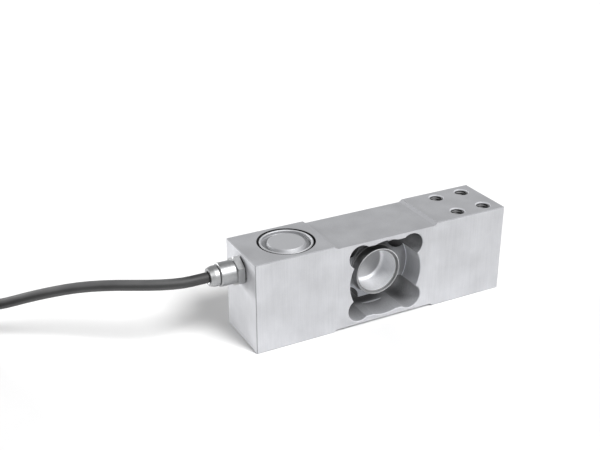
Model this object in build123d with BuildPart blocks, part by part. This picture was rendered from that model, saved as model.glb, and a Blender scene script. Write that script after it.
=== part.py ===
"""Hermetically sealed single-point load cell with its cable gland and a 3 m cable.

Millimetres. The origin is at the centre of the block's underside. X runs from the fixed
end, where the cable leaves, to the loaded end. Y runs from the front face to the rear
face, and Z is up.
"""

import os
from math import atan2, cos, degrees, hypot, pi, radians, sin, sqrt, tan

from build123d import *

# Block
block_length = 150.0
block_width = 35.0
block_height = 50.0
edge_break = 0.4
relief_length = 62.0
relief_depth = 1.5
relief_radius = 3.0

# Window through the side: a round pocket from each face, four lobes and two slots
pocket_wall = 2.0
pocket_depth = 13.5
flexure_thickness = 1.5
lobe_radius = 6.7
lobe_spread_x = 30.8
slot_width = 4.4
slot_lift = 2.9
window_break = 0.4

# Gauge bore in the web that the two pockets leave
sensing_wall = 1.5
gauge_groove_depth = 0.8
gauge_groove_width = 5.0

# Thin welded covers of the gauge bore
collar_wall = 0.5
collar_foot_width = 1.2
collar_foot_thickness = 0.6
collar_fillet = 0.4
cover_rim_inset = 8.0
rim_bead_height = 0.45
cup_wall = 0.4
cup_gap = 0.8
cup_lip_depth = 1.0
cup_corner = 1.5
cup_floor_overrun = 0.5
cup_floor_gap = 0.6

# Foil gauges on the bore wall and their wires
gauge_angles = {"upper_right": 45.0, "upper_left": 135.0, "lower_left": 225.0, "lower_right": 315.0}
gauge_arc = 26.0
gauge_width = 4.0
gauge_thickness = 0.25
wire_radius = 0.25
wire_clearance = 0.1
wire_offset = 0.45
wire_spacing_y = 1.2
wire_turn_radius = 0.9
wire_drop_radius = 1.5
wire_passage_radius = 1.5

# Terminal chamber under the round cap
cap_inset = 25.5
chamber_radius = 12.3
board_drop = 11.6
board_ledge = 1.8
sump_depth = 2.9
cap_radius = 13.4
cap_wall = 0.6
cap_channel_depth = 2.0
cap_plateau_radius = 9.4
cap_plateau_foot = 10.5
cap_corner = 0.9
weld_lip_wall = 0.5
weld_bead_height = 0.4
trepan_width = 1.2
trepan_depth = 1.6

# Terminal board and what is on it
board_clearance = 0.2
board_thickness = 1.6
core_pad_radius = 0.7
wire_pad_radius = 0.45
pad_height = 0.2
core_pad_inset = 5.0
core_pad_pitch = 2.5
wire_pad_inset = 6.6
wire_pad_pitch = 2.0
resistor_spread = 12.0
resistor_span = 8.0
resistor_length = 4.5
resistor_radius = 0.9
resistor_lead_radius = 0.25
resistor_lift = 1.2

# Tapped holes, M8: four in the top of the loaded end, four in the underside of the fixed end
tap_radius = 3.4
tap_mouth_radius = 4.3
tap_depth = 16.0
tap_tip_angle = 118.0
hole_pitch_x = 17.0
hole_pitch_y = 20.0
hole_group_inset = 17.5

# Cable gland in the fixed end
gland_drop = 10.0
port_radius = 6.0
port_depth = 9.0
port_pilot_radius = 3.5
port_break = 0.4
seal_thickness = 0.6
seal_radius = 6.9
gland_flats = 14.0
gland_hex_length = 3.6
gland_hex_chamfer = 0.6
gland_thread_clearance = 0.1
gland_thread_length = 8.0
gland_barrel_radius = 6.1
gland_barrel_length = 8.3
gland_barrel_break = 0.4
gland_bore_clearance = 0.25
bush_wall = 1.45
bush_length = 4.4
bush_clearance = 0.1
washer_thickness = 0.7
screw_gap = 0.5
screw_head_radius = 5.3
screw_nose_radius = 4.6
screw_head_length = 4.5
screw_land_length = 2.2

# Cable: the jacket starts inside the gland, and the unseen length lies in a coil
cable_radius = 2.75
core_radius = 0.6
core_offset = 0.85
core_bend_radius = 2.5
core_colours = {"red": (-1, 1), "black": (1, 1), "green": (-1, -1), "white": (1, -1)}
gland_height = block_height - gland_drop
route = [
    (-70.0, 0.0, gland_height),
    (-111.0, 0.0, gland_height),
    (-143.5, 25.3, 36.5),
    (-166.5, 41.2, 29.5),
    (-188.0, 56.4, 20.05),
    (-201.1, 65.6, 20.05),
]
coil_stub_length = 23.0
coil_mid_radius = 31.0
coil_columns = 4
coil_layers = 4
coil_top_columns = 3
coil_corner = 2.0
coil_inset = 0.15
coil_end_angle = 180.0
coil_whole_turns = 14
coil_tie_angles = (110.0, 230.0, 350.0)
coil_tie_width = 3.5
coil_tie_thickness = 0.8
tail_jacket_length = 23.0
tail_run = 11.0
tail_fan = 1.2
tail_spread = 1.0
tail_bare_length = 5.0
tail_bare_radius = 0.35

# Worked out from the sizes above
front_face = -block_width / 2
rear_face = block_width / 2
fixed_end = -block_length / 2
window_height = block_height / 2
pocket_radius = window_height - relief_depth - pocket_wall
lobe_spread_z = 2 * (window_height - relief_depth - flexure_thickness - lobe_radius)
lobe_reach = hypot(lobe_spread_x, lobe_spread_z) / 2
gauge_bore_radius = lobe_reach - lobe_radius - sensing_wall - gauge_groove_depth
groove_radius = gauge_bore_radius + gauge_groove_depth
collar_radius = gauge_bore_radius + collar_wall
collar_foot_radius = gauge_bore_radius + collar_foot_width
cup_radius = gauge_bore_radius - cup_gap
front_cup_depth = block_width - pocket_depth - cover_rim_inset + cup_floor_overrun
rear_cup_depth = pocket_depth - cover_rim_inset - cup_floor_overrun - 2 * cup_wall - cup_floor_gap
wire_path_radius = groove_radius - gauge_thickness - wire_clearance - wire_radius
cap_x = fixed_end + cap_inset
cap_channel_z = block_height - cap_channel_depth
cap_seat_z = cap_channel_z - cap_wall
weld_lip_radius = cap_radius + weld_lip_wall
weld_lip_z = block_height - weld_bead_height
board_seat_height = gland_height - board_drop
chamber_floor_height = board_seat_height - sump_depth
pad_top = board_seat_height + board_thickness + pad_height
bush_radius = cable_radius + bush_wall
bush_chamber_radius = bush_radius + bush_clearance
gland_bore_radius = cable_radius + gland_bore_clearance
hex_start = fixed_end - seal_thickness
barrel_start = hex_start - gland_hex_length
barrel_end = barrel_start - gland_barrel_length
bush_end = barrel_start - bush_length
passage_tilt = atan2(gland_height - window_height, block_length / 2)
passage_direction = (-cos(passage_tilt), 0, sin(passage_tilt))
coil_pitch = 2 * cable_radius

window_centre = (0, 0, window_height)
window_axis = Axis(window_centre, (0, 1, 0))
window_front = Plane(origin=window_centre, x_dir=(1, 0, 0), z_dir=(0, -1, 0))
cap_axis = Axis((cap_x, 0, 0), (0, 0, 1))
cap_section = Plane(origin=(cap_x, 0, 0), x_dir=(1, 0, 0), z_dir=(0, -1, 0))
gland_axis = Axis((0, 0, gland_height), (1, 0, 0))
gland_section = Plane(origin=(0, 0, gland_height), x_dir=(1, 0, 0), z_dir=(0, -1, 0))
hole_groups = {
    "loaded": Plane(origin=(-fixed_end - hole_group_inset, 0, block_height)),
    "fixed": Plane(origin=(fixed_end + hole_group_inset, 0, 0), z_dir=(0, 0, -1)),
}
pieces = []


def finish(piece, label):
    """Label one finished piece and keep it for export."""
    piece.part.label = label
    pieces.append(piece.part)


def bend_radii(points):
    """Give each corner of a route an arc of 0.45 of the shorter run beside it."""
    vectors = [Vector(*p) for p in points]
    radii = []
    for before, corner, after in zip(vectors, vectors[1:], vectors[2:]):
        arriving = corner - before
        leaving = after - corner
        half_turn = radians(arriving.get_angle(leaving)) / 2
        radii.append(0.45 * min(arriving.length, leaving.length) / tan(half_turn))
    return radii


def round_tube(points, radii, radius):
    """Sweep a round section of the given radius along straight runs joined by arcs."""
    with BuildPart() as tube:
        with BuildLine() as path:
            FilletPolyline(*points, radius=radii)
        with BuildSketch(Plane(origin=path.line @ 0, z_dir=path.line % 0)):
            Circle(radius)
        sweep(path=path.line)
    return tube


# Block with its window, gauge bore, terminal chamber, gland port and tapped holes
with BuildPart() as beam_body:
    with BuildSketch():
        Rectangle(block_length, block_width)
    extrude(amount=block_height)
    chamfer(beam_body.edges(), length=edge_break)

    relief_run_out = sqrt(relief_radius**2 - (relief_radius - relief_depth) ** 2)
    relief_cut_length = relief_length + 2 * (relief_radius - relief_run_out)
    relief_cut_height = 3 * relief_radius
    with BuildSketch(Plane.XZ):
        for floor_z, outward in ((relief_depth, -1), (block_height - relief_depth, 1)):
            with Locations((0, floor_z + outward * relief_cut_height / 2)):
                RectangleRounded(relief_cut_length, relief_cut_height, relief_radius)
    extrude(amount=block_width, both=True, mode=Mode.SUBTRACT)

    with BuildSketch(window_front):
        with GridLocations(lobe_spread_x, lobe_spread_z, 2, 2):
            Circle(lobe_radius)
        with GridLocations(0, lobe_spread_z + 2 * slot_lift, 1, 2):
            Rectangle(lobe_spread_x, slot_width)
    extrude(amount=block_width, both=True, mode=Mode.SUBTRACT)
    for outward in (-1, 1):
        with BuildSketch(window_front.offset(-outward * block_width / 2)):
            Circle(pocket_radius)
        extrude(amount=outward * pocket_depth, mode=Mode.SUBTRACT)
    for side_face in (beam_body.faces().sort_by(Axis.Y)[0], beam_body.faces().sort_by(Axis.Y)[-1]):
        chamfer(side_face.inner_wires()[0].edges(), length=window_break)

    with BuildSketch(window_front):
        Circle(gauge_bore_radius)
    extrude(amount=block_width / 2, both=True, mode=Mode.SUBTRACT)
    with BuildSketch(window_front):
        Circle(groove_radius)
    extrude(amount=gauge_groove_width / 2, both=True, mode=Mode.SUBTRACT)

    with BuildSketch(Plane(origin=(cap_x, 0, block_height))):
        Circle(weld_lip_radius + trepan_width)
        Circle(weld_lip_radius, mode=Mode.SUBTRACT)
    extrude(amount=-trepan_depth, mode=Mode.SUBTRACT)
    chamber_steps = (
        (weld_lip_radius, weld_lip_z),
        (cap_radius, cap_seat_z),
        (chamber_radius, board_seat_height),
        (chamber_radius - board_ledge, chamber_floor_height),
    )
    for step_radius, step_floor in chamber_steps:
        with BuildSketch(Plane(origin=(cap_x, 0, block_height))):
            Circle(step_radius)
        extrude(amount=step_floor - block_height, mode=Mode.SUBTRACT)

    with BuildSketch(Plane(origin=window_centre, z_dir=passage_direction)):
        Circle(wire_passage_radius)
    extrude(amount=-cap_x / cos(passage_tilt), mode=Mode.SUBTRACT)

    with BuildSketch(Plane(origin=(fixed_end, 0, gland_height), z_dir=(1, 0, 0))):
        Circle(port_pilot_radius)
    extrude(amount=cap_inset, mode=Mode.SUBTRACT)
    with BuildSketch(Plane(origin=(fixed_end, 0, gland_height), z_dir=(1, 0, 0))):
        Circle(port_radius)
    extrude(amount=port_depth, mode=Mode.SUBTRACT)
    chamfer(beam_body.faces().sort_by(Axis.X)[0].inner_wires()[0].edges(), length=port_break)

    tap_tip_height = tap_radius / tan(radians(tap_tip_angle / 2))
    for hole_plane in hole_groups.values():
        with Locations(hole_plane):
            with GridLocations(hole_pitch_x, hole_pitch_y, 2, 2):
                CounterSinkHole(tap_radius, tap_mouth_radius, tap_depth, counter_sink_angle=90)
                with Locations((0, 0, -tap_depth)):
                    Cone(
                        0,
                        tap_radius,
                        tap_tip_height,
                        align=(Align.CENTER, Align.CENTER, Align.MAX),
                        mode=Mode.SUBTRACT,
                    )
finish(beam_body, "beam_body")


# Thin collars on the web and the drawn cups welded to their rims
def cover_section(face_y):
    """Section plane of a cover: radius along X, depth measured in from the given face."""
    inward = -1 if face_y > 0 else 1
    return Plane(origin=(0, face_y, window_height), x_dir=(1, 0, 0), z_dir=(0, 0, inward))


def make_collar(face_y):
    """A thin tube that stands on the web round the gauge bore, with a foot."""
    foot_top = pocket_depth - collar_foot_thickness
    outline = (
        (gauge_bore_radius, pocket_depth),
        (collar_foot_radius, pocket_depth),
        (collar_foot_radius, foot_top),
        (collar_radius, foot_top),
        (collar_radius, cover_rim_inset),
        (gauge_bore_radius, cover_rim_inset),
    )
    with BuildPart() as collar:
        with BuildSketch(cover_section(face_y)):
            with BuildLine():
                FilletPolyline(*outline, radius=(0, 0, 0, collar_fillet, 0, 0), close=True)
            make_face()
        revolve(axis=window_axis)
    return collar


def make_cup(face_y, cup_depth):
    """A drawn cup with a stepped lip and the rounded weld bead on its rim."""
    lip_radius = gauge_bore_radius - cup_wall
    shoulder = cover_rim_inset + cup_lip_depth
    floor_depth = cover_rim_inset + cup_depth
    outline = (
        (0, floor_depth),
        (cup_radius - cup_wall, floor_depth),
        (cup_radius - cup_wall, shoulder),
        (lip_radius, shoulder),
        (lip_radius, cover_rim_inset),
        (gauge_bore_radius, cover_rim_inset),
        (gauge_bore_radius, shoulder + cup_wall),
        (cup_radius, shoulder + cup_wall),
        (cup_radius, floor_depth + cup_wall),
        (0, floor_depth + cup_wall),
    )
    small = cup_wall / 2
    radii = (0, cup_corner, small, small, 0, 0, small, small, cup_corner + cup_wall, 0)
    bead_middle = (lip_radius + collar_radius) / 2
    with BuildPart() as cup:
        with BuildSketch(cover_section(face_y)):
            with BuildLine():
                FilletPolyline(*outline, radius=radii, close=True)
            make_face()
            with BuildLine():
                bead_top = (bead_middle, cover_rim_inset - rim_bead_height)
                ThreePointArc((lip_radius, cover_rim_inset), bead_top, (collar_radius, cover_rim_inset))
                Line((collar_radius, cover_rim_inset), (lip_radius, cover_rim_inset))
            make_face()
        revolve(axis=window_axis)
    return cup


for side, face_y, cup_depth in (
    ("front", front_face, front_cup_depth),
    ("rear", rear_face, rear_cup_depth),
):
    finish(make_collar(face_y), side + "_collar")
    finish(make_cup(face_y, cup_depth), side + "_cup")


# Foil gauges on the wall of the groove
def make_gauge(middle_angle):
    """A thin foil gauge that follows the groove's wall round one diagonal."""
    inner_radius = groove_radius - gauge_thickness
    start_angle = middle_angle - gauge_arc / 2
    with BuildPart() as gauge:
        with BuildSketch(window_front):
            with BuildLine():
                outer = CenterArc((0, 0), groove_radius, start_angle, gauge_arc)
                inner = CenterArc((0, 0), inner_radius, start_angle, gauge_arc)
                Line(outer @ 0, inner @ 0)
                Line(outer @ 1, inner @ 1)
            make_face()
        extrude(amount=gauge_width / 2, both=True)
    return gauge


def make_gauge_wire(middle_angle, wire_y):
    """A wire from its gauge round the groove, up the passage and down to its pad."""
    tilt = degrees(passage_tilt)
    upper = middle_angle < 180
    side_sign = 1 if upper else -1
    offset_side = side_sign * wire_offset
    turn_height = wire_offset + wire_turn_radius
    turn_reach = sqrt((wire_path_radius + wire_turn_radius) ** 2 - turn_height**2)
    turn_angle = side_sign * degrees(atan2(turn_height, turn_reach))
    start_angle = 180 - middle_angle - tilt
    pad_x = cap_x + wire_pad_inset - side_sign * wire_pad_pitch / 2
    drop_x = pad_x + wire_drop_radius * (1 + sin(passage_tilt))
    drop_reach = (offset_side * sin(passage_tilt) - drop_x) / cos(passage_tilt)
    wire_plane = Plane(origin=(0, wire_y, window_height), x_dir=passage_direction, z_dir=(0, 1, 0))
    with BuildPart() as wire:
        with BuildLine(wire_plane) as path:
            along_groove = CenterArc((0, 0), wire_path_radius, start_angle, turn_angle - start_angle)
            turn = TangentArc(along_groove @ 1, (turn_reach, offset_side), tangent=along_groove % 1)
            run = Line(turn @ 1, (drop_reach, offset_side))
            drop = JernArc(run @ 1, run % 1, wire_drop_radius, -(90 + tilt))
            landing = drop @ 1
            Line(landing, Vector(landing.X, landing.Y, pad_top))
        with BuildSketch(Plane(origin=path.line @ 0, z_dir=path.line % 0)):
            Circle(wire_radius)
        sweep(path=path.line)
    return wire


gauge_wire_y = {
    "upper_right": -wire_spacing_y / 2,
    "upper_left": wire_spacing_y / 2,
    "lower_left": -wire_spacing_y / 2,
    "lower_right": wire_spacing_y / 2,
}
for place, middle_angle in gauge_angles.items():
    finish(make_gauge(middle_angle), "strain_gauge_" + place)
    finish(make_gauge_wire(middle_angle, gauge_wire_y[place]), "gauge_wire_" + place)

# Round terminal board with a raised pad for each lead
with BuildPart() as terminal_board:
    with BuildSketch(Plane(origin=(cap_x, 0, board_seat_height))):
        Circle(chamber_radius - board_clearance)
    extrude(amount=board_thickness)
    with BuildSketch(Plane(origin=(cap_x, 0, board_seat_height + board_thickness))):
        with Locations((-core_pad_inset, 0)):
            with GridLocations(core_pad_pitch, 2 * core_offset, 2, 2):
                Circle(core_pad_radius)
        with Locations((wire_pad_inset, 0)):
            with GridLocations(wire_pad_pitch, wire_spacing_y, 2, 2):
                Circle(wire_pad_radius)
        with GridLocations(resistor_span, resistor_spread, 2, 2):
            Circle(wire_pad_radius)
    extrude(amount=pad_height)
finish(terminal_board, "terminal_board")

for side, resistor_y in (("front", -resistor_spread / 2), ("rear", resistor_spread / 2)):
    with BuildPart() as trim_resistor:
        high = pad_top + resistor_lift
        left = cap_x - resistor_span / 2
        right = cap_x + resistor_span / 2
        corners = ((left, resistor_y, pad_top), (left, resistor_y, high))
        corners += ((right, resistor_y, high), (right, resistor_y, pad_top))
        add(round_tube(corners, [2 * resistor_lead_radius] * 2, resistor_lead_radius).part)
        with BuildSketch(Plane(origin=(cap_x, resistor_y, high), z_dir=(1, 0, 0))):
            Circle(resistor_radius)
        extrude(amount=resistor_length / 2, both=True)
    finish(trim_resistor, "trim_resistor_" + side)

# Pressed cap of the terminal chamber, with a raised middle, a channel and a welded lip
with BuildPart() as terminal_cap:
    lean = atan2(cap_plateau_foot - cap_plateau_radius, cap_channel_depth)
    under_shift = cap_wall * (tan(lean) - 1 / cos(lean))
    lip_inner = cap_radius - cap_wall
    cap_outline = (
        (0, block_height),
        (cap_plateau_radius, block_height),
        (cap_plateau_foot, cap_channel_z),
        (lip_inner, cap_channel_z),
        (lip_inner, weld_lip_z),
        (cap_radius, weld_lip_z),
        (cap_radius, cap_seat_z),
        (cap_plateau_foot + under_shift, cap_seat_z),
        (cap_plateau_radius + under_shift, block_height - cap_wall),
        (0, block_height - cap_wall),
    )
    cap_radii = (0, cap_corner, cap_wall / 2, cap_wall / 2, 0, 0, 0, cap_wall, cap_wall / 2, 0)
    with BuildSketch(cap_section):
        with BuildLine():
            FilletPolyline(*cap_outline, radius=cap_radii, close=True)
        make_face()
        with BuildLine():
            bead_top = ((lip_inner + weld_lip_radius) / 2, block_height)
            ThreePointArc((lip_inner, weld_lip_z), bead_top, (weld_lip_radius, weld_lip_z))
            Line((weld_lip_radius, weld_lip_z), (lip_inner, weld_lip_z))
        make_face()
    revolve(axis=cap_axis)
finish(terminal_cap, "terminal_cap")


# Cable gland: seal, body, rubber bush, washer and pressure screw on one axis
def turned(outline):
    """Revolve a closed outline of (place along X, radius) points about the gland's axis."""
    with BuildPart() as ring:
        with BuildSketch(gland_section):
            with BuildLine():
                Polyline(*outline, close=True)
            make_face()
        revolve(axis=gland_axis)
    return ring


def plain_ring(start, end, inner_radius, outer_radius):
    """The outline of a ring of rectangular section."""
    return (start, inner_radius), (end, inner_radius), (end, outer_radius), (start, outer_radius)


finish(turned(plain_ring(hex_start, fixed_end, port_radius, seal_radius)), "gland_seal")

with BuildPart() as gland_body:
    hex_corner = gland_flats / sqrt(3)
    thread_radius = port_radius - gland_thread_clearance
    thread_end = fixed_end + gland_thread_length
    with BuildSketch(Plane(origin=(barrel_start, 0, gland_height), x_dir=(0, 1, 0), z_dir=(1, 0, 0))):
        RegularPolygon(gland_flats / 2, 6, major_radius=False, rotation=30)
    extrude(amount=gland_hex_length)
    with BuildSketch(gland_section):
        with BuildLine():
            Polyline(
                (barrel_start, 0),
                (barrel_start, hex_corner - gland_hex_chamfer),
                (barrel_start + gland_hex_chamfer / 2, hex_corner),
                (hex_start, hex_corner),
                (hex_start, 0),
                close=True,
            )
        make_face()
    revolve(axis=gland_axis, mode=Mode.INTERSECT)
    with BuildSketch(gland_section):
        with BuildLine():
            Polyline(
                (barrel_end, 0),
                (barrel_end, gland_barrel_radius - gland_barrel_break),
                (barrel_end + gland_barrel_break, gland_barrel_radius),
                (barrel_start, gland_barrel_radius),
                (barrel_start, thread_radius),
                (thread_end - gland_barrel_break, thread_radius),
                (thread_end, thread_radius - gland_barrel_break),
                (thread_end, 0),
                close=True,
            )
        make_face()
    revolve(axis=gland_axis)
    with BuildSketch(gland_section):
        with BuildLine():
            Polyline(
                (barrel_end, 0),
                (barrel_end, bush_chamber_radius),
                (barrel_start, bush_chamber_radius),
                (barrel_start, gland_bore_radius),
                (thread_end, gland_bore_radius),
                (thread_end, 0),
                close=True,
            )
        make_face()
    revolve(axis=gland_axis, mode=Mode.SUBTRACT)
finish(gland_body, "gland_body")

finish(turned(plain_ring(bush_end, barrel_start, cable_radius, bush_radius)), "gland_bush")
washer_end = bush_end - washer_thickness
finish(turned(plain_ring(washer_end, bush_end, gland_bore_radius, bush_radius)), "gland_washer")

head_start = barrel_end - screw_gap
nose_end = head_start - screw_head_length
screw_outline = (
    (washer_end, gland_bore_radius),
    (washer_end, bush_radius),
    (head_start, bush_radius),
    (head_start, screw_head_radius),
    (head_start - screw_land_length, screw_head_radius),
    (nose_end, screw_nose_radius),
    (nose_end, gland_bore_radius + gland_barrel_break),
    (nose_end + gland_barrel_break, gland_bore_radius),
)
finish(turned(screw_outline), "gland_screw")

# Cable: cores to the board, the jacket's free run, and the coil of its unseen length
jacket_start = route[0][0]
for colour, (side_sign, height_sign) in core_colours.items():
    core_y = side_sign * core_offset
    core_z = gland_height + height_sign * core_offset
    core_pad_x = cap_x - core_pad_inset + height_sign * core_pad_pitch / 2
    core_points = ((jacket_start, core_y, core_z), (core_pad_x, core_y, core_z), (core_pad_x, core_y, pad_top))
    finish(round_tube(core_points, [core_bend_radius], core_radius), "core_" + colour)

cable_radii = bend_radii(route)
cable = round_tube(route, cable_radii, cable_radius)
finish(cable, "cable")
print("cable bend radii", [round(r, 1) for r in cable_radii])

coil_entry = Vector(*route[-1])
coil_heading = (coil_entry - Vector(*route[-2])).normalized()
coil_side = Vector(coil_heading.Y * -1, coil_heading.X, 0)
coil_outer_turn = coil_mid_radius + (coil_columns - 1) * cable_radius
coil_touch = coil_entry + coil_heading * coil_stub_length
coil_centre = coil_touch + coil_side * coil_outer_turn
coil_axis = Axis((coil_centre.X, coil_centre.Y, 0), (0, 0, 1))
coil_half_width = coil_columns * cable_radius - coil_inset
coil_inner = coil_mid_radius - coil_half_width
coil_outer = coil_mid_radius + coil_half_width
top_inner = coil_outer + 2 * coil_inset - coil_top_columns * coil_pitch
coil_base = coil_tie_thickness + coil_inset
coil_top = coil_tie_thickness + coil_layers * coil_pitch - coil_inset
lower_top = coil_top - coil_pitch
coil_section = Plane(origin=(coil_centre.X, coil_centre.Y, 0), x_dir=(1, 0, 0), z_dir=(0, -1, 0))
tail_angle = radians(coil_end_angle)
tail_start = Vector(
    coil_centre.X + coil_outer_turn * cos(tail_angle),
    coil_centre.Y + coil_outer_turn * sin(tail_angle),
    coil_tie_thickness + cable_radius,
)
tail_heading = Vector(-sin(tail_angle), cos(tail_angle), 0)
tail_side = Vector(cos(tail_angle), sin(tail_angle), 0)
with BuildPart() as cable_coil:
    with BuildSketch(coil_section):
        with BuildLine():
            coil_outline = (
                (coil_inner, coil_base),
                (coil_outer, coil_base),
                (coil_outer, coil_top),
                (top_inner, coil_top),
                (top_inner, lower_top),
                (coil_inner, lower_top),
            )
            FilletPolyline(*coil_outline, radius=coil_corner, close=True)
        make_face()
    revolve(axis=coil_axis)
    with BuildSketch(Plane(origin=coil_entry, z_dir=coil_heading)):
        Circle(cable_radius)
    extrude(amount=coil_stub_length + cable_radius)
    with BuildSketch(Plane(origin=tail_start, z_dir=tail_heading)):
        Circle(cable_radius)
    extrude(amount=tail_jacket_length)
finish(cable_coil, "cable_coil")

# Three ties hold the coil's turns together, and the coil stands on them
tie_turn = degrees(coil_tie_width / coil_mid_radius)
with BuildPart() as coil_ties:
    for angle in coil_tie_angles:
        first_side = radians(angle - tie_turn / 2)
        tie_section = Plane(
            origin=coil_axis.position,
            x_dir=(cos(first_side), sin(first_side), 0),
            z_dir=(sin(first_side), -cos(first_side), 0),
        )
        with BuildSketch(tie_section):
            for growth, mode in ((coil_tie_thickness, Mode.ADD), (0, Mode.SUBTRACT)):
                with BuildLine():
                    tie_outline = (
                        (coil_inner - growth, coil_base - growth),
                        (coil_outer + growth, coil_base - growth),
                        (coil_outer + growth, coil_top + growth),
                        (top_inner - growth / 2, coil_top + growth),
                        (coil_inner - growth, lower_top + growth / 2),
                    )
                    FilletPolyline(*tie_outline, radius=coil_corner + growth, close=True)
                make_face(mode=mode)
        revolve(axis=coil_axis, revolution_arc=tie_turn)
finish(coil_ties, "coil_ties")

coil_angle = 2 * pi * coil_whole_turns + tail_angle - atan2(-coil_side.Y, -coil_side.X)
free_length = cable.part.volume / (pi * cable_radius**2)
coil_length = coil_angle * coil_mid_radius + coil_stub_length + tail_jacket_length
print("cable length", round(free_length + coil_length), "mm, free run", round(free_length, 1))

# Stripped cores at the cable's far end, spread a little on the surface
jacket_end = tail_start + tail_heading * tail_jacket_length
for colour, (side_sign, height_sign) in core_colours.items():
    spread = side_sign * tail_fan * (2 + height_sign)
    places = (
        (0, side_sign * core_offset, jacket_end.Z + height_sign * core_offset),
        (tail_run, side_sign * core_offset, jacket_end.Z + height_sign * core_offset),
        (2 * tail_run, spread, core_radius),
        (3 * tail_run, spread + side_sign * tail_spread, core_radius),
    )
    tail_points = [
        tuple(jacket_end + tail_heading * along + tail_side * aside + Vector(0, 0, height - jacket_end.Z))
        for along, aside, height in places
    ]
    bare_heading = (Vector(*tail_points[-1]) - Vector(*tail_points[-2])).normalized()
    with BuildPart() as tail:
        add(round_tube(tail_points, bend_radii(tail_points), core_radius).part)
        with BuildSketch(Plane(origin=tail_points[-1], z_dir=bare_heading)):
            Circle(tail_bare_radius)
        extrude(amount=tail_bare_length)
    finish(tail, "tail_" + colour)

os.makedirs("parts", exist_ok=True)
for piece in pieces:
    export_step(piece, "parts/" + piece.label + ".step")
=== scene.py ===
"""Looks of a sealed weighing cell: its cable, threads, finishes, camera and studio stage.

Metres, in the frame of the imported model. X runs from the cable end to the loaded end,
Y from the front face to the rear face, and Z is up from the block's underside.
"""

from math import cos, pi, radians, sin

import bpy
from bpy.props import FloatProperty, FloatVectorProperty, IntProperty, PointerProperty
from bpy.types import Operator, Panel, PropertyGroup
from mathutils import Matrix, Vector


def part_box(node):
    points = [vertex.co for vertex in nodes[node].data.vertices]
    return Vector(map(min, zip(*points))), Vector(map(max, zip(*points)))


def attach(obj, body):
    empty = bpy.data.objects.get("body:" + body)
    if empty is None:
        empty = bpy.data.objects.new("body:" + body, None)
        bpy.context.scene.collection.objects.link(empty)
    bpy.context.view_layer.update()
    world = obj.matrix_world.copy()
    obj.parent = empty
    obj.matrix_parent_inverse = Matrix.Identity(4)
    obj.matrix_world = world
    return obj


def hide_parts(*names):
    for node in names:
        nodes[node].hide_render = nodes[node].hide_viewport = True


bl_info = {
    "name": "Weighing Cell",
    "version": (1, 0, 0),
    "blender": (4, 5, 0),
    "location": "3D View > Sidebar > Weighing Cell",
    "description": "Dresses a sealed weighing cell with its cable, threads and finishes",
    "category": "Add Mesh",
}

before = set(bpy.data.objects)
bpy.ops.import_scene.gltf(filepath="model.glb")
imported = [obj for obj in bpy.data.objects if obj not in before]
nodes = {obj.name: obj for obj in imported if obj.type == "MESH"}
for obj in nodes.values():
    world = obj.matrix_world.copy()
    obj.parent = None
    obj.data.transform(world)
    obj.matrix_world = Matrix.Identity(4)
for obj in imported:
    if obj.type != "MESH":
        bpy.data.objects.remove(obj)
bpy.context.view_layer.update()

block_low, block_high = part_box("beam_body")
cap_low, cap_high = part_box("terminal_cap")
cap_middle_x = (cap_low.x + cap_high.x) / 2
window_height = (block_low.z + block_high.z) / 2
cup_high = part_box("front_cup")[1]

# The cable's free run, from inside the gland to where the coil's straight lead-in starts
cable_run = [
    (-0.0700, 0.0, 0.0400),
    (-0.0925, 0.0, 0.0400),
    (-0.1110, 0.0, 0.0400),
    (-0.1435, 0.0253, 0.0365),
    (-0.1665, 0.0412, 0.0295),
    (-0.1880, 0.0564, 0.02005),
    (-0.2011, 0.0656, 0.02005),
]

# The cable's coil: the straight stretch before it, and how many turns it is wide and high
lead_in = 0.023
coil_columns = 4
coil_layers = 4

# The camera
camera_lens = 58.11
camera_place = (-0.24568, -0.39329, 0.26618)
camera_turn = (radians(64.756), radians(0.123), radians(-27.489))

# The lights: where each stands, what it faces and how wide it is
key_place = (0.34, -1.04, 1.30)
key_target = (-0.05, 0.0, 0.0)
key_spread = radians(22.0)
back_place = (0.42, 1.2, 0.65)
back_target = (0.0, 0.0, 0.03)
back_size = 1.1
low_place = (-0.75, 1.1, 0.18)
low_target = (-0.07, 0.0, 0.03)
low_size = 0.5

# How squarely a surface faces along an axis: where its finish starts, and where it is full
top_facing = (0.8, 0.95)
side_facing = (0.6, 0.85)
web_facing = (0.8, 0.95)
flat_facing = (0.85, 0.97)

# Broken edges face along no axis: their finish is full up to the first and gone from the second
edge_facing = (0.86, 0.985)

# Painted light and shade: how light each place is painted, against the base colour of its finish
window_painted_shading = {"deep": 0.33, "side": 1.25, "web": 1.6, "ceiling": 0.10, "corner": 2.0}
edge_painted_shading = {"plain": 0.82, "hole": 1.1, "window": 1.15}
cup_painted_shading = {"fixed half": 0.58, "floor": 0.52, "lip": 0.35}
cap_painted_shading = {"channel": 0.6, "lip": 1.2}
collar_painted_shade = 0.35

# Full height of the relief that a bump pattern stands for
relief_height = 0.0001


class CableSettings(PropertyGroup):
    """Size and colour of the cable and of its coil."""

    diameter: FloatProperty(
        name="Diameter", description="Outer diameter of the jacket", default=0.0055, unit="LENGTH"
    )
    length: FloatProperty(
        name="Length", description="Whole length of the cable", default=2.994, unit="LENGTH"
    )
    coil_radius: FloatProperty(
        name="Coil radius", description="Radius of the coil's outermost turn, at the cable's middle",
        default=0.03925, unit="LENGTH",
    )
    coil_base: FloatProperty(
        name="Coil base", description="Height of the coil's lowest turns above the surface",
        default=0.0008, unit="LENGTH",
    )
    points_per_turn: IntProperty(
        name="Points per turn", description="Control points in each turn of the coil", default=16, min=12
    )
    jacket_colour: FloatVectorProperty(
        name="Jacket", description="Colour of the cable's jacket", subtype="COLOR",
        default=(0.066, 0.066, 0.067), min=0.0, max=1.0,
    )


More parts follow.
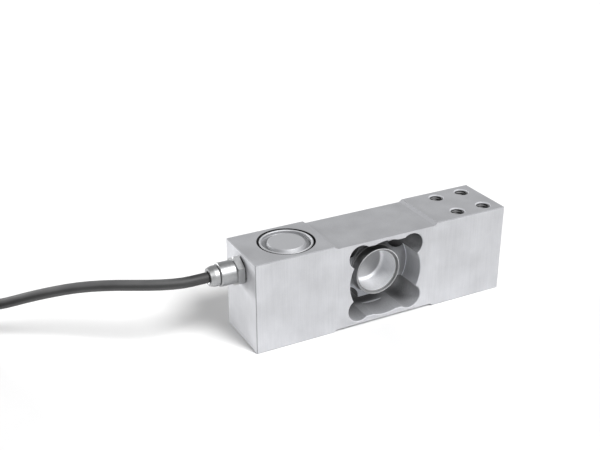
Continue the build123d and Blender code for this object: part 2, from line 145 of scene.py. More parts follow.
class SteelSettings(PropertyGroup):
    """Finish of the block, its covers and its cap."""

    body_colour: FloatVectorProperty(
        name="Block", description="Colour of the blasted block", subtype="COLOR",
        default=(0.605, 0.61, 0.629), min=0.0, max=1.0,
    )
    body_roughness: FloatProperty(
        name="Block roughness", description="Roughness of the blasted block", default=0.68, min=0.0, max=1.0
    )
    # Darker than the block: painted shade for the inside of the window
    milled_shaded_colour: FloatVectorProperty(
        name="Window", description="Colour of the milled window inside the block", subtype="COLOR",
        default=(0.48, 0.486, 0.503), min=0.0, max=1.0,
    )
    # Painted shade: the holes' walls and the groove round the cap are painted dark
    hole_shade_colour: FloatVectorProperty(
        name="Holes", description="Colour of the shaded tapped holes and of the groove round the cap",
        subtype="COLOR", default=(0.06, 0.06, 0.062), min=0.0, max=1.0,
    )
    cover_colour: FloatVectorProperty(
        name="Covers", description="Colour of the drawn covers", subtype="COLOR",
        default=(0.93, 0.935, 0.95), min=0.0, max=1.0,
    )
    cap_colour: FloatVectorProperty(
        name="Cap", description="Colour of the pressed cap over the terminals", subtype="COLOR",
        default=(0.515, 0.52, 0.535), min=0.0, max=1.0,
    )
    cover_roughness: FloatProperty(
        name="Cover roughness", description="Roughness of the drawn covers", default=0.7, min=0.0, max=1.0
    )


class ThreadSettings(PropertyGroup):
    """Sizes of the threads in the tapped holes."""

    pitch: FloatProperty(
        name="Pitch", description="Distance from one thread to the next", default=0.00125, unit="LENGTH"
    )
    ridge: FloatProperty(
        name="Ridge", description="Height of the thread above the hole's wall", default=0.00042, unit="LENGTH"
    )
    hole_radius: FloatProperty(
        name="Hole radius", description="Radius of the drilled hole", default=0.0034, unit="LENGTH"
    )
    turns: IntProperty(name="Turns", description="Whole turns of each thread", default=11, min=1)
    pitch_x: FloatProperty(
        name="Spacing X", description="Distance between holes along the block", default=0.017, unit="LENGTH"
    )
    pitch_y: FloatProperty(
        name="Spacing Y", description="Distance between holes across the block", default=0.020, unit="LENGTH"
    )
    inset: FloatProperty(
        name="Inset", description="From the block's end to the middle of its four holes",
        default=0.0175, unit="LENGTH",
    )


class StageSettings(PropertyGroup):
    """Floor, backdrop and lights."""

    floor_colour: FloatVectorProperty(
        name="Floor", description="Colour of the floor", subtype="COLOR",
        default=(0.82, 0.82, 0.82), min=0.0, max=1.0,
    )
    key_power: FloatProperty(
        name="Key light", description="Strength of the main soft light", default=3.7, min=0.0
    )
    back_power: FloatProperty(
        name="Back light", description="Power of the broad light that the top reflects", default=0.8, min=0.0
    )
    low_power: FloatProperty(
        name="Low light", description="Power of the low light behind the cable end", default=14.5, min=0.0
    )
    surround: FloatProperty(
        name="Surround", description="Brightness of the surroundings", default=0.35, min=0.0
    )


# Material building blocks


def start_material(name, colour, metallic, roughness):
    """Make a material with one principled shader and its plain values."""
    material = bpy.data.materials.new(name)
    material.use_nodes = True
    tree = material.node_tree
    shader = tree.nodes["Principled BSDF"]
    shader.inputs["Base Color"].default_value = (*colour, 1.0)
    shader.inputs["Metallic"].default_value = metallic
    shader.inputs["Roughness"].default_value = roughness
    return material, tree, shader


def feed(tree, socket, value):
    """Link a socket to another one, or set its plain number, vector or colour."""
    if isinstance(value, bpy.types.NodeSocket):
        tree.links.new(value, socket)
    elif socket.type == "RGBA":
        socket.default_value = (*value[:3], 1.0)
    else:
        socket.default_value = value


def add_node(tree, kind, inputs, **properties):
    """Add a node, set its properties, and feed its inputs by name or by number."""
    node = tree.nodes.new(kind)
    for name, value in properties.items():
        setattr(node, name, value)
    for name, value in inputs.items():
        feed(tree, node.inputs[name], value)
    return node


def object_place(tree, scale=(1.0, 1.0, 1.0), location=(0.0, 0.0, 0.0)):
    """The piece's own coordinates, scaled and moved."""
    coordinates = add_node(tree, "ShaderNodeTexCoord", {})
    inputs = {"Vector": coordinates.outputs["Object"], "Scale": scale, "Location": location}
    return add_node(tree, "ShaderNodeMapping", inputs).outputs["Vector"]


def parts_of(tree, vector):
    """The X, Y and Z of a vector."""
    return add_node(tree, "ShaderNodeSeparateXYZ", {"Vector": vector}).outputs


def surface_facing(tree):
    """The X, Y and Z of the direction that the surface faces."""
    return parts_of(tree, add_node(tree, "ShaderNodeNewGeometry", {}).outputs["Normal"])


def length_of(tree, vector):
    """The length of a vector."""
    node = add_node(tree, "ShaderNodeVectorMath", {"Vector": vector}, operation="LENGTH")
    return node.outputs["Value"]


def distance_from(tree, centre, axis):
    """Distance from a line through the centre, along the given axis."""
    scale = [0.0 if name == axis else 1.0 for name in "XYZ"]
    shift = [-value * factor for value, factor in zip(centre, scale)]
    return length_of(tree, object_place(tree, scale, shift))


def noise(tree, place, scale, detail):
    """A noise pattern at the given place and scale."""
    inputs = {"Vector": place, "Scale": scale, "Detail": detail}
    return add_node(tree, "ShaderNodeTexNoise", inputs).outputs["Fac"]


def combine(tree, operation, *values):
    """Work out a number from one or two others, each a socket or a plain value."""
    inputs = dict(enumerate(values))
    return add_node(tree, "ShaderNodeMath", inputs, operation=operation).outputs["Value"]


def both(tree, first, second):
    """Where both masks are."""
    return combine(tree, "MULTIPLY", first, second)


def size_of(tree, value):
    """A number without its sign."""
    return combine(tree, "ABSOLUTE", value)


def spread(tree, source, low, high, start=0.3, end=0.7):
    """Map a pattern's middle part, or the given stretch of a number, to a range of numbers."""
    inputs = {"Value": source, "From Min": start, "From Max": end, "To Min": low, "To Max": high}
    return add_node(tree, "ShaderNodeMapRange", inputs).outputs["Result"]


def rise(tree, source, start, end):
    """A mask that is zero up to the start and one from the end."""
    return spread(tree, source, 0.0, 1.0, start, end)


def fall(tree, source, start, end):
    """A mask that is one up to the start and zero from the end."""
    return spread(tree, source, 1.0, 0.0, start, end)


def between(tree, source, low, high, soft):
    """One where a number lies between two limits, with soft ends, and zero elsewhere."""
    return both(tree, rise(tree, source, low - soft, low), fall(tree, source, high, high + soft))


def tint(tree, source, low, high, start=0.3, end=0.7):
    """Map a pattern to a range of colours."""
    node = add_node(tree, "ShaderNodeValToRGB", {"Fac": source})
    for index, (position, colour) in enumerate(((start, low), (end, high))):
        element = node.color_ramp.elements[index]
        element.position = position
        element.color = (*colour[:3], 1.0)
    return node.outputs["Color"]


def clouded(tree, pattern, colour, darkest, lightest):
    """A colour that a pattern makes darker and lighter by the given factors."""
    return tint(tree, pattern, shade(colour, darkest), shade(colour, lightest))


def mix(tree, mask, first, second):
    """The first colour, and the second one where the mask is."""
    # A mix node's colour sockets share their names with others, so they go by number
    first_input, second_input, colour_output = 6, 7, 2
    inputs = {"Factor": mask, first_input: first, second_input: second}
    return add_node(tree, "ShaderNodeMix", inputs, data_type="RGBA").outputs[colour_output]


def bump(tree, height, strength, normal=None):
    """Turn a pattern into relief, on top of other relief where that is given."""
    inputs = {"Height": height, "Strength": strength, "Distance": relief_height}
    if normal is not None:
        inputs["Normal"] = normal
    return add_node(tree, "ShaderNodeBump", inputs).outputs["Normal"]


def shade(colour, factor):
    """A colour made lighter or darker."""
    return tuple(min(1.0, channel * factor) for channel in colour[:3])


def dress(material, *names):
    """Put a material on the named nodes of the model."""
    for name in names:
        for material_slot in nodes[name].material_slots:
            material_slot.material = material


# The block's finish


def window_masks(tree, place, from_window):
    """Where the window's outline is, seen from the side, and where its walls are."""
    reach = 0.0290
    half_height = 0.0226
    broken_rim = 0.0005
    soft = 0.0002
    outline = both(
        tree,
        fall(tree, from_window, reach, reach + soft),
        between(tree, place["Z"], window_height - half_height, window_height + half_height, soft),
    )
    inside = between(tree, place["Y"], block_low.y + broken_rim, block_high.y - broken_rim, soft=0.0003)
    return outline, both(tree, outline, inside)


def groove_mask(tree, place):
    """Where the groove round the welded cap is."""
    inner_radius = 0.01385
    outer_radius = 0.0152
    depth = 0.0030
    soft = 0.0001
    from_cap = distance_from(tree, (cap_middle_x, 0.0, 0.0), "Z")
    return both(
        tree,
        between(tree, from_cap, inner_radius, outer_radius, soft),
        between(tree, place["Z"], block_high.z - depth, block_high.z - soft, soft),
    )


def distance_from_hole(tree, place, threads):
    """Distance from the axis of the nearest tapped hole."""
    from_group = combine(tree, "SUBTRACT", size_of(tree, place["X"]), block_high.x - threads.inset)
    along = combine(tree, "SUBTRACT", size_of(tree, from_group), threads.pitch_x / 2)
    across = combine(tree, "SUBTRACT", size_of(tree, place["Y"]), threads.pitch_y / 2)
    offset = add_node(tree, "ShaderNodeCombineXYZ", {"X": along, "Y": across})
    return length_of(tree, offset.outputs["Vector"])


def hole_mask(tree, place, from_hole, threads):
    """Where the holes' walls are: in the loaded end's upper half, the fixed end's lower half."""
    wall_fade = (threads.hole_radius + 0.0001, threads.hole_radius + 0.0004)
    middle_fade = (0.0, 0.001)
    end = combine(tree, "SIGN", place["X"])
    from_middle = combine(tree, "SUBTRACT", place["Z"], window_height)
    on_its_side = rise(tree, combine(tree, "MULTIPLY", from_middle, end), *middle_fade)
    return both(tree, fall(tree, from_hole, *wall_fade), on_its_side)


def edge_mask(tree, facing):
    """Where the surface faces along none of the three axes, as broken edges do."""
    along, across, up = (size_of(tree, facing[name]) for name in "XYZ")
    straightest = combine(tree, "MAXIMUM", along, combine(tree, "MAXIMUM", across, up))
    return fall(tree, straightest, *edge_facing)


def height_band(tree, place, low, high):
    """Where the height above the window's middle lies between two limits."""
    return between(tree, place["Z"], window_height + low, window_height + high, soft=0.002)


def web_corner_highlight_mask(tree, place, from_window):
    """Where a painted highlight runs: along the pocket's wall where it meets the web, on the loaded side."""
    corner_ring = (0.02105, 0.0214)
    corner_depth = (0.0037, 0.0044)
    loaded_fade = (0.012, 0.015)
    corner = both(
        tree,
        between(tree, from_window, *corner_ring, soft=0.0001),
        between(tree, size_of(tree, place["Y"]), *corner_depth, soft=0.0002),
    )
    return both(tree, corner, rise(tree, place["X"], *loaded_fade))


def milled_walls(tree, place, facing, from_window, base):
    """Colour of the window's walls: painted shade deep inside and above, painted light on the sides and the
    web, and a painted highlight at the web's corner.
    """
    depth_fade = (0.002, block_high.y)
    fixed_fade = (-0.004, 0.004)
    ceiling_fade = (window_height + 0.006, window_height + 0.021)
    painted_tone = {name: shade(base, factor) for name, factor in window_painted_shading.items()}
    # Painted shade: the walls darken deeper into the window
    depth = fall(tree, size_of(tree, place["Y"]), *depth_fade)
    colour = tint(tree, depth, base, painted_tone["deep"], start=0.0, end=1.0)
    # Painted light: walls facing along the block are lighter
    painted_lit_side = both(
        tree,
        rise(tree, size_of(tree, facing["X"]), *side_facing),
        height_band(tree, place, low=-0.0095, high=0.0090),
    )
    colour = mix(tree, painted_lit_side, colour, painted_tone["side"])
    # Painted light on the web's half toward the fixed end
    painted_lit_web = both(
        tree,
        fall(tree, place["X"], *fixed_fade),
        height_band(tree, place, low=-0.0175, high=-0.0085),
    )
    on_web = rise(tree, size_of(tree, facing["Y"]), *web_facing)
    colour = mix(tree, on_web, colour, mix(tree, painted_lit_web, base, painted_tone["web"]))
    # Painted shade: the walls darken towards the window's top
    colour = mix(tree, rise(tree, place["Z"], *ceiling_fade), colour, painted_tone["ceiling"])
    # Painted highlight along the web's corner
    return mix(tree, web_corner_highlight_mask(tree, place, from_window), colour, painted_tone["corner"])


def painted_edge_colour(tree, from_hole, outline, base):
    """Colour of the broken edges: painted shade, with painted highlights round the holes and round the
    window.
    """
    hole_fade = (0.0047, 0.0049)
    painted_tone = {name: shade(base, factor) for name, factor in edge_painted_shading.items()}
    colour = mix(tree, fall(tree, from_hole, *hole_fade), painted_tone["plain"], painted_tone["hole"])
    return mix(tree, outline, colour, painted_tone["window"])


def block_roughness(tree, roughness, grain, lines, cut, on_top):
    """Roughness of the block: grain and drawing lines, duller where it is cut and on its top."""
    grain_swing = 0.03
    line_swing = 0.05
    cut_dulling = 0.2
    top_dulling = 0.17
    rough = combine(
        tree, "ADD",
        spread(tree, grain, roughness - grain_swing, roughness + grain_swing),
        spread(tree, lines, -line_swing, line_swing),
    )
    duller = combine(
        tree, "MAXIMUM",
        combine(tree, "MULTIPLY", cut, cut_dulling),
        combine(tree, "MULTIPLY", on_top, top_dulling),
    )
    return combine(tree, "ADD", rough, duller)


def block_relief(tree, grain, lines, from_window, in_window):
    """Relief of the block: grain and drawing lines, and turned rings in the window."""
    from_axis = add_node(tree, "ShaderNodeCombineXYZ", {"X": from_window}).outputs["Vector"]
    rings = {"Vector": from_axis, "Scale": 260.0}
    turned = add_node(tree, "ShaderNodeTexWave", rings, wave_type="BANDS").outputs["Fac"]
    relief = bump(tree, grain, strength=0.22)
    relief = bump(tree, lines, strength=0.18, normal=relief)
    return bump(tree, both(tree, turned, in_window), strength=0.15, normal=relief)


def blasted_steel(settings, threads):
    """Satin stainless: blasted grain, faint upright drawing lines and soft clouding.

    The top is duller, and painted darker as shade. Broken edges carry painted shade, with painted
    highlights round the holes and the window. The window has painted light and shade, and the
    holes and the cap's groove painted shade.
    """
    base = settings.body_colour
    roughness = settings.body_roughness
    material, tree, shader = start_material("blasted_steel", base, 1.0, roughness)
    place = parts_of(tree, object_place(tree))
    facing = surface_facing(tree)
    from_window = distance_from(tree, (0.0, 0.0, window_height), "Y")
    from_hole = distance_from_hole(tree, place, threads)
    outline, in_window = window_masks(tree, place, from_window)
    on_edge = edge_mask(tree, facing)
    on_top = rise(tree, facing["Z"], *top_facing)
    grain = noise(tree, object_place(tree), scale=2600.0, detail=2.0)
    lines = noise(tree, object_place(tree, (1500.0, 1500.0, 60.0)), scale=1.0, detail=2.0)
    clouds = noise(tree, object_place(tree), scale=60.0, detail=3.0)

    outer = clouded(tree, clouds, base, darkest=0.92, lightest=1.06)
    # Painted shade: the top is darker than the sides
    outer = mix(tree, on_top, outer, clouded(tree, clouds, base, darkest=0.75, lightest=0.86))
    inner = milled_walls(tree, place, facing, from_window, settings.milled_shaded_colour)
    # Broken edges take painted shade, and painted highlights round the holes and the window
    edge = painted_edge_colour(tree, from_hole, outline, base)
    surface = mix(tree, in_window, outer, inner)
    surface = mix(tree, on_edge, surface, mix(tree, in_window, edge, inner))
    # Painted shade in the groove round the cap and on the holes' walls
    for dark in (groove_mask(tree, place), hole_mask(tree, place, from_hole, threads)):
        surface = mix(tree, dark, surface, settings.hole_shade_colour)
    feed(tree, shader.inputs["Base Color"], surface)

    cut = combine(tree, "MAXIMUM", in_window, on_edge)
    rough = block_roughness(tree, roughness, grain, lines, cut, on_top)
    relief = block_relief(tree, grain, lines, from_window, in_window)
    feed(tree, shader.inputs["Roughness"], rough)
    feed(tree, shader.inputs["Normal"], relief)
    return material


# Other finishes


def paint_cup_shading(tree, colour, base, reach):
    """Paint shade on the cups' half toward the fixed end, on their floors and on their lips."""
    fixed_fade = (-0.010, 0.003)
    floor_depth = (cup_high.y - 0.0008, cup_high.y + 0.0016)
    floor_fade = (0.0095, 0.0104)
    lip_ring = (0.0117, 0.01275)
    lip_fade = (0.0078, 0.0081)
    place = parts_of(tree, object_place(tree))
    masks = {
        "fixed half": fall(tree, place["X"], *fixed_fade),
        "floor": both(
            tree,
            between(tree, place["Y"], *floor_depth, soft=0.0005),
            fall(tree, reach, *floor_fade),
        ),
        "lip": both(
            tree,
            between(tree, reach, *lip_ring, soft=0.0002),
            rise(tree, size_of(tree, place["Y"]), *lip_fade),
        ),
    }
    # Each masked place gets painted shade
    for name, mask in masks.items():
        colour = mix(tree, mask, colour, shade(base, cup_painted_shading[name]))
    return colour


def paint_cap_shading(tree, colour, base, reach):
    """Paint shade into the cap's channel and a highlight onto its welded lip."""
    rings = {"channel": (0.0105, 0.0126), "lip": (0.0129, 0.0134)}
    for name, ring in rings.items():
        mask = between(tree, reach, *ring, soft=0.0002)
        colour = mix(tree, mask, colour, shade(base, cap_painted_shading[name]))
    return colour


def drawn_steel(name, base, centre, axis, roughness, paint_shading=None):
    """Drawn sheet: turned rings round the given axis, a fine grain and duller flats.

    Paint shading, where given, is the function that paints shade and highlights into the colour by distance
    from the axis.
    """
    flat_dulling = 0.15
    material, tree, shader = start_material(name, base, 1.0, roughness)
    grain = noise(tree, object_place(tree), scale=1800.0, detail=2.0)
    colour = clouded(tree, grain, base, darkest=0.96, lightest=1.04)
    if paint_shading is not None:
        colour = paint_shading(tree, colour, base, distance_from(tree, centre, axis))
    feed(tree, shader.inputs["Base Color"], colour)

    on_flat = rise(tree, size_of(tree, surface_facing(tree)[axis]), *flat_facing)
    duller = combine(tree, "MULTIPLY", on_flat, flat_dulling)
    rough = spread(tree, grain, low=roughness - 0.04, high=roughness + 0.05)
    feed(tree, shader.inputs["Roughness"], combine(tree, "ADD", rough, duller))

    around = object_place(tree, location=tuple(-value for value in centre))
    wave = {"Vector": around, "Scale": 900.0, "Distortion": 1.5, "Detail": 1.0}
    rings = add_node(tree, "ShaderNodeTexWave", wave, wave_type="RINGS", rings_direction=axis)
    relief = bump(tree, grain, strength=0.06)
    relief = bump(tree, rings.outputs["Fac"], strength=0.03, normal=relief)
    feed(tree, shader.inputs["Normal"], relief)
    return material


def mottled(name, colour, roughness, scale, metallic=0.0, relief=0.1, change=0.12):
    """A plain finish with the small colour, gloss and relief changes of a real surface."""
    gloss_swing = 0.06
    material, tree, shader = start_material(name, colour, metallic, roughness)
    pattern = noise(tree, object_place(tree), scale, detail=3.0)
    rough = spread(tree, pattern, roughness - gloss_swing, roughness + gloss_swing)
    feed(tree, shader.inputs["Base Color"], clouded(tree, pattern, colour, 1.0 - change, 1.0 + change))
    feed(tree, shader.inputs["Roughness"], rough)
    feed(tree, shader.inputs["Normal"], bump(tree, pattern, relief))
    return material


def cable_jacket(colour):
    """Black sheath with a fine grain: painted sheen above, painted shade on its flank and near the gland."""
    upper_facing = (0.45, 0.75)
    flank_facing = (0.0, 0.3)
    gland_fade = (-0.113, -0.101)
    material, tree, shader = start_material("cable_jacket", colour, metallic=0.0, roughness=0.42)
    fine = noise(tree, object_place(tree), scale=1400.0, detail=2.0)
    broad = noise(tree, object_place(tree), scale=90.0, detail=3.0)
    up = surface_facing(tree)["Z"]
    along = parts_of(tree, object_place(tree))["X"]
    painted_upper_sheen = rise(tree, up, *upper_facing)
    painted_flank_shade = between(tree, up, *flank_facing, soft=0.25)
    painted_gland_shade = rise(tree, along, *gland_fade)
    skin = clouded(tree, broad, colour, darkest=0.75, lightest=1.15)
    # Painted sheen on the upper side, painted shade on the flank and near the gland
    for mask, darkest, lightest in (
        (painted_upper_sheen, 1.15, 1.6),
        (painted_flank_shade, 0.35, 0.55),
        (painted_gland_shade, 0.3, 0.5),
    ):
        skin = mix(tree, mask, skin, clouded(tree, broad, colour, darkest, lightest))
    feed(tree, shader.inputs["Base Color"], skin)
    feed(tree, shader.inputs["Roughness"], spread(tree, broad, low=0.50, high=0.62))
    feed(tree, shader.inputs["Normal"], bump(tree, fine, strength=0.12))
    return material


# Pieces


def deselect_all():
    """Leave edit mode and select nothing."""
    if bpy.context.object is not None and bpy.context.object.mode != "OBJECT":
        bpy.ops.object.mode_set(mode="OBJECT")
    bpy.ops.object.select_all(action="DESELECT")


def settle(piece, name, material):
    """Name a finished piece, put its place into its mesh and give it its material."""
    deselect_all()
    piece.select_set(True)
    bpy.context.view_layer.objects.active = piece
    bpy.ops.object.transform_apply(location=True, rotation=True, scale=True)
    piece.name = name
    piece.data.name = name
    piece.data.materials.clear()
    piece.data.materials.append(material)


class CELL_OT_camera(Operator):
    """Place the camera that frames the weighing cell"""

    bl_idname = "weighing_cell.camera"
    bl_label = "Place Camera"

    def execute(self, context):
        lens = bpy.data.cameras.new("view")
        lens.sensor_width = 36.0
        lens.lens = camera_lens
        lens.clip_start = 0.02
        lens.clip_end = 50.0
        camera = bpy.data.objects.new("view", lens)
        context.scene.collection.objects.link(camera)
        camera.location = camera_place
        camera.rotation_euler = camera_turn
        context.scene.camera = camera
        return {"FINISHED"}


def winding_order():
    """Each turn's column and layer: wound to and fro, from the top layer down."""
    order = []
    for layer in reversed(range(coil_layers)):
        columns = range(coil_columns)
        if layer % 2:
            columns = reversed(columns)
        order += [(column, layer) for column in columns]
    # The top layer isn't full: its innermost place stays empty
    order.remove((0, coil_layers - 1))
    return order


def coil_points(settings, entry, heading):
    """Control points of the coil: its turns lie a diameter apart, layer under layer."""
    diameter = settings.diameter
    side = Vector((-heading.y, heading.x, 0.0))
    centre = entry + heading * lead_in + side * settings.coil_radius
    step = 2 * pi / settings.points_per_turn
    # The points are a polygon's corners, and the curve touches its sides at the coil's radius
    reach = 1 / cos(step / 2)
    # From this angle a turn moves to its next place: across in one sector, down in the next
    jog_start = radians(200.0)
    jog_sector = pi / 2
    order = winding_order()
    end = 2 * pi * (len(order) - 1) + pi
    points = []
    angle = (-side).to_2d().angle_signed(Vector((1.0, 0.0))) + step / 2
    while angle < end:
        passed = angle - jog_start
        turn = max(0, int(passed // (2 * pi)) + 1)
        column, layer = order[turn]
        if turn:
            through = (passed - 2 * pi * (turn - 1)) / jog_sector
            last_column, last_layer = order[turn - 1]
            column = last_column + (column - last_column) * min(1.0, through)
            layer = last_layer + (layer - last_layer) * min(1.0, max(0.0, through - 1.0))
        radius = (settings.coil_radius - (coil_columns - 1 - column) * diameter) * reach
        height = settings.coil_base + diameter / 2 + layer * diameter
        points.append((centre.x + radius * cos(angle), centre.y + radius * sin(angle), height))
        angle += step
    low = settings.coil_base + diameter / 2
    for run_out in (lead_in / 2, lead_in):
        points.append((centre.x - settings.coil_radius, centre.y - run_out, low))
    return points


class CELL_OT_cable(Operator):
    """Lay the cable from its gland to its coil as one smooth cord"""

    bl_idname = "weighing_cell.cable"
    bl_label = "Lay Cable"

    def execute(self, context):
        settings = context.scene.cell_cable
        entry = Vector(cable_run[-1])
        heading = (entry - Vector(cable_run[-2])).normalized()
        points = cable_run + coil_points(settings, entry, heading)
        curve = bpy.data.curves.new("connection_cable", "CURVE")
        curve.dimensions = "3D"
        curve.bevel_depth = settings.diameter / 2
        curve.bevel_resolution = 4
        curve.resolution_u = 5
        curve.use_fill_caps = True
        spline = curve.splines.new("NURBS")
        spline.points.add(len(points) - 1)
        for control, place in zip(spline.points, points):
            control.co = (*place, 1.0)
        spline.order_u = 3
        spline.use_endpoint_u = True
        cable = bpy.data.objects.new("connection_cable", curve)
        context.scene.collection.objects.link(cable)
        curve.materials.append(cable_jacket(settings.jacket_colour))
        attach(cable, "root")
        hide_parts("cable", "cable_coil")
        return {"FINISHED"}


def turn_thread(settings):
    """Screw a triangle round the hole's axis and close both its ends."""
    wall_overlap = 0.00005
    half_foot_share = 0.47
    facets_per_turn = 28
    wall = settings.hole_radius + wall_overlap
    half_foot = settings.pitch * half_foot_share
    profile = ((wall, -half_foot), (wall - settings.ridge, 0.0), (wall, half_foot))
    bpy.ops.mesh.primitive_circle_add(vertices=3, radius=settings.ridge, location=(0.0, 0.0, 0.0))
    thread = bpy.context.object
    for vertex, (across, up) in zip(thread.data.vertices, profile):
        vertex.co = (across, 0.0, up)
    screw = thread.modifiers.new("turns", "SCREW")
    screw.axis = "Z"
    screw.screw_offset = settings.pitch
    screw.iterations = settings.turns
    screw.steps = facets_per_turn
    screw.render_steps = facets_per_turn
    screw.use_merge_vertices = True
    screw.merge_threshold = 1e-6
    bpy.ops.object.modifier_apply(modifier=screw.name)
    bpy.ops.object.mode_set(mode="EDIT")
    bpy.ops.mesh.select_all(action="DESELECT")
    bpy.ops.mesh.select_non_manifold()
    bpy.ops.mesh.edge_face_add()
    bpy.ops.mesh.select_all(action="SELECT")
    bpy.ops.mesh.normals_make_consistent(inside=False)
    bpy.ops.object.mode_set(mode="OBJECT")
    return thread


class CELL_OT_threads(Operator):
    """Put the threads into the eight tapped holes"""

    bl_idname = "weighing_cell.threads"
    bl_label = "Add Threads"

    def execute(self, context):
        settings = context.scene.cell_thread
        mouth = 0.0008
        smooth_limit = radians(35.0)
        # Painted shade: the threads are far darker than the block they are cut in
        colour = (0.20, 0.20, 0.205)
        material = mottled("thread_steel", colour, roughness=0.7, scale=1500.0, metallic=1.0)
        deselect_all()
        thread = turn_thread(settings)
        loaded_start = block_high.z - mouth - settings.turns * settings.pitch
        fixed_start = block_low.z + mouth
        made = 0
        for end, group, height in ((1, "loaded", loaded_start), (-1, "fixed", fixed_start)):
            middle = end * (block_high.x - settings.inset)
            for across in (-0.5, 0.5):
                for along in (-0.5, 0.5):
                    made += 1
                    copy = thread.copy()
                    copy.data = thread.data.copy()
                    context.scene.collection.objects.link(copy)
                    place = (middle + along * settings.pitch_x, across * settings.pitch_y, height)
                    copy.matrix_world = Matrix.Translation(place)
                    settle(copy, f"thread_{group}_{made}", material)
                    bpy.ops.object.shade_smooth_by_angle(angle=smooth_limit)
                    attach(copy, "root")
        bpy.data.objects.remove(thread)
        return {"FINISHED"}


class CELL_OT_block_finish(Operator):
    """Give the block its blasted finish"""

    bl_idname = "weighing_cell.block_finish"
    bl_label = "Finish Block"

    def execute(self, context):
        dress(blasted_steel(context.scene.cell_steel, context.scene.cell_thread), "beam_body")
        return {"FINISHED"}


class CELL_OT_cover_finish(Operator):
    """Give the gauge covers and the terminal cap their finish"""

    bl_idname = "weighing_cell.cover_finish"
    bl_label = "Finish Covers"

    def execute(self, context):
        settings = context.scene.cell_steel
        window_middle = (0.0, 0.0, window_height)
        cover = drawn_steel(
            "drawn_steel", settings.cover_colour, window_middle, "Y", settings.cover_roughness, paint_cup_shading
        )
        dress(cover, "front_cup", "rear_cup")
        # Painted shade: the collars are the covers' colour, darkened
        collar_colour = shade(settings.cover_colour, collar_painted_shade)
        collar = drawn_steel("collar_steel", collar_colour, window_middle, "Y", roughness=0.5)
        dress(collar, "front_collar", "rear_collar")
        cap_middle = (cap_middle_x, 0.0, 0.0)
        cap_roughness = 0.69
        cap = drawn_steel("pressed_steel", settings.cap_colour, cap_middle, "Z", cap_roughness, paint_cap_shading)
        dress(cap, "terminal_cap")
        return {"FINISHED"}


class CELL_OT_gland_finish(Operator):
    """Give the gland its plating and its rubber parts"""

    bl_idname = "weighing_cell.gland_finish"
    bl_label = "Finish Gland"

    def execute(self, context):
        plating = mottled(
            "nickel_plating", (0.40, 0.405, 0.41), roughness=0.48, scale=900.0, metallic=1.0, change=0.07
        )
        dress(plating, "gland_body", "gland_screw", "gland_washer")
        black = (0.018, 0.018, 0.018)
        rubber = mottled("black_rubber", black, roughness=0.6, scale=1200.0, relief=0.3)
        dress(rubber, "gland_seal", "gland_bush")
        return {"FINISHED"}


class CELL_OT_inner_finish(Operator):
    """Give the sealed inner parts, the stripped cores and the ties their finishes"""

    bl_idname = "weighing_cell.inner_finish"
    bl_label = "Finish Inner Parts"

    def execute(self, context):
        green = (0.03, 0.16, 0.07)
        blue = (0.12, 0.30, 0.50)
        amber = (0.48, 0.24, 0.06)
        copper = (0.42, 0.15, 0.05)
        board = mottled("circuit_board", green, roughness=0.35, scale=700.0, relief=0.08)
        dress(board, "terminal_board")
        lacquer = mottled("resistor_lacquer", blue, roughness=0.25, scale=800.0, relief=0.05)
        dress(lacquer, "trim_resistor_front", "trim_resistor_rear")
        foil = mottled("gauge_foil", amber, roughness=0.3, scale=900.0, metallic=0.1, relief=0.08)
        enamel = mottled("wire_enamel", copper, roughness=0.28, scale=900.0, metallic=0.6, relief=0.04)
        for name in nodes:
            if name.startswith("strain_gauge_"):
                dress(foil, name)
            elif name.startswith("gauge_wire_"):
                dress(enamel, name)
        colours = {
            "red": (0.42, 0.02, 0.015),
            "black": (0.015, 0.015, 0.015),
            "green": (0.02, 0.20, 0.05),
            "white": (0.72, 0.72, 0.70),
        }
        for colour, value in colours.items():
            insulation = mottled("insulation_" + colour, value, roughness=0.38, scale=1100.0, relief=0.05)
            dress(insulation, "core_" + colour, "tail_" + colour)
        dress(mottled("tie_nylon", (0.02, 0.02, 0.02), roughness=0.45, scale=1000.0), "coil_ties")
        return {"FINISHED"}


def aimed_light(name, kind, place, target, power):
    """Add a light that faces its target, and give back its lamp."""
    lamp = bpy.data.lights.new(name, kind)
    lamp.energy = power
    light = bpy.data.objects.new(name, lamp)
    bpy.context.scene.collection.objects.link(light)
    light.location = place
    light.rotation_euler = (Vector(target) - Vector(place)).to_track_quat("-Z", "Y").to_euler()
    return lamp


def soft_light(name, place, target, power, size):
    """Add a square soft light of the given size."""
    lamp = aimed_light(name, "AREA", place, target, power)
    lamp.shape = "SQUARE"
    lamp.size = size


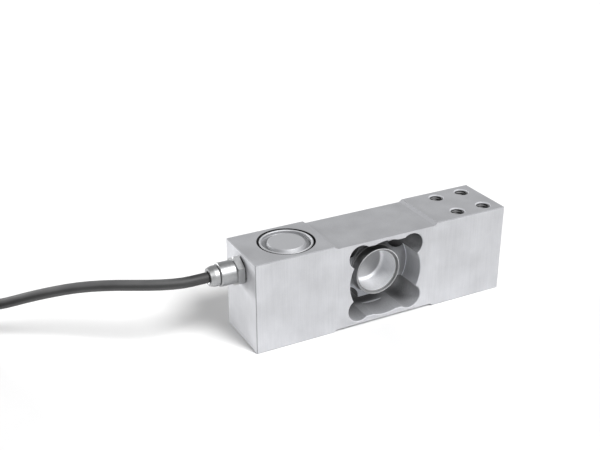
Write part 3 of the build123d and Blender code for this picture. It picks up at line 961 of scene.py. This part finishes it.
class CELL_OT_stage(Operator):
    """Build the pale floor, the surroundings and the soft studio lights"""

    bl_idname = "weighing_cell.stage"
    bl_label = "Build Stage"

    def execute(self, context):
        settings = context.scene.cell_stage
        deselect_all()
        bpy.ops.mesh.primitive_plane_add(size=40.0, location=(0.0, 0.0, 0.0))
        floor = context.object
        card = mottled(
            "floor_card", tuple(settings.floor_colour), roughness=0.7, scale=30.0, relief=0.0, change=0.01
        )
        settle(floor, "floor", card)
        world = bpy.data.worlds.new("studio")
        context.scene.world = world
        context.scene.view_settings.view_transform = "Standard"
        world.use_nodes = True
        background = world.node_tree.nodes["Background"]
        background.inputs["Color"].default_value = (1.0, 1.0, 1.0, 1.0)
        background.inputs["Strength"].default_value = settings.surround
        key = aimed_light("key", "SUN", key_place, key_target, settings.key_power)
        key.angle = key_spread
        soft_light("back", back_place, back_target, settings.back_power, back_size)
        soft_light("low", low_place, low_target, settings.low_power, low_size)
        return {"FINISHED"}


class CELL_PT_parts(Panel):
    """Lists the steps that dress the weighing cell."""

    bl_label = "Weighing Cell"
    bl_idname = "CELL_PT_parts"
    bl_space_type = "VIEW_3D"
    bl_region_type = "UI"
    bl_category = "Weighing Cell"

    def draw(self, context):
        layout = self.layout
        for step in steps:
            layout.operator(step.bl_idname)
        for group in setting_groups:
            settings = getattr(context.scene, group)
            for name in settings.__annotations__:
                layout.prop(settings, name)


steps = (
    CELL_OT_camera,
    CELL_OT_cable,
    CELL_OT_threads,
    CELL_OT_block_finish,
    CELL_OT_cover_finish,
    CELL_OT_gland_finish,
    CELL_OT_inner_finish,
    CELL_OT_stage,
)
setting_groups = {
    "cell_cable": CableSettings,
    "cell_steel": SteelSettings,
    "cell_thread": ThreadSettings,
    "cell_stage": StageSettings,
}


def register():
    """Register the settings, the steps and the panel."""
    for name, group in setting_groups.items():
        bpy.utils.register_class(group)
        setattr(bpy.types.Scene, name, PointerProperty(type=group))
    for step in steps:
        bpy.utils.register_class(step)
    bpy.utils.register_class(CELL_PT_parts)


def unregister():
    """Remove the panel, the steps and the settings."""
    bpy.utils.unregister_class(CELL_PT_parts)
    for step in reversed(steps):
        bpy.utils.unregister_class(step)
    for name, group in setting_groups.items():
        delattr(bpy.types.Scene, name)
        bpy.utils.unregister_class(group)


def main():
    """Dress the model from the camera to the stage."""
    register()
    bpy.ops.weighing_cell.camera()
    bpy.ops.weighing_cell.cable()
    bpy.ops.weighing_cell.threads()
    bpy.ops.weighing_cell.block_finish()
    bpy.ops.weighing_cell.cover_finish()
    bpy.ops.weighing_cell.gland_finish()
    bpy.ops.weighing_cell.inner_finish()
    bpy.ops.weighing_cell.stage()


if __name__ == "__main__":
    main()
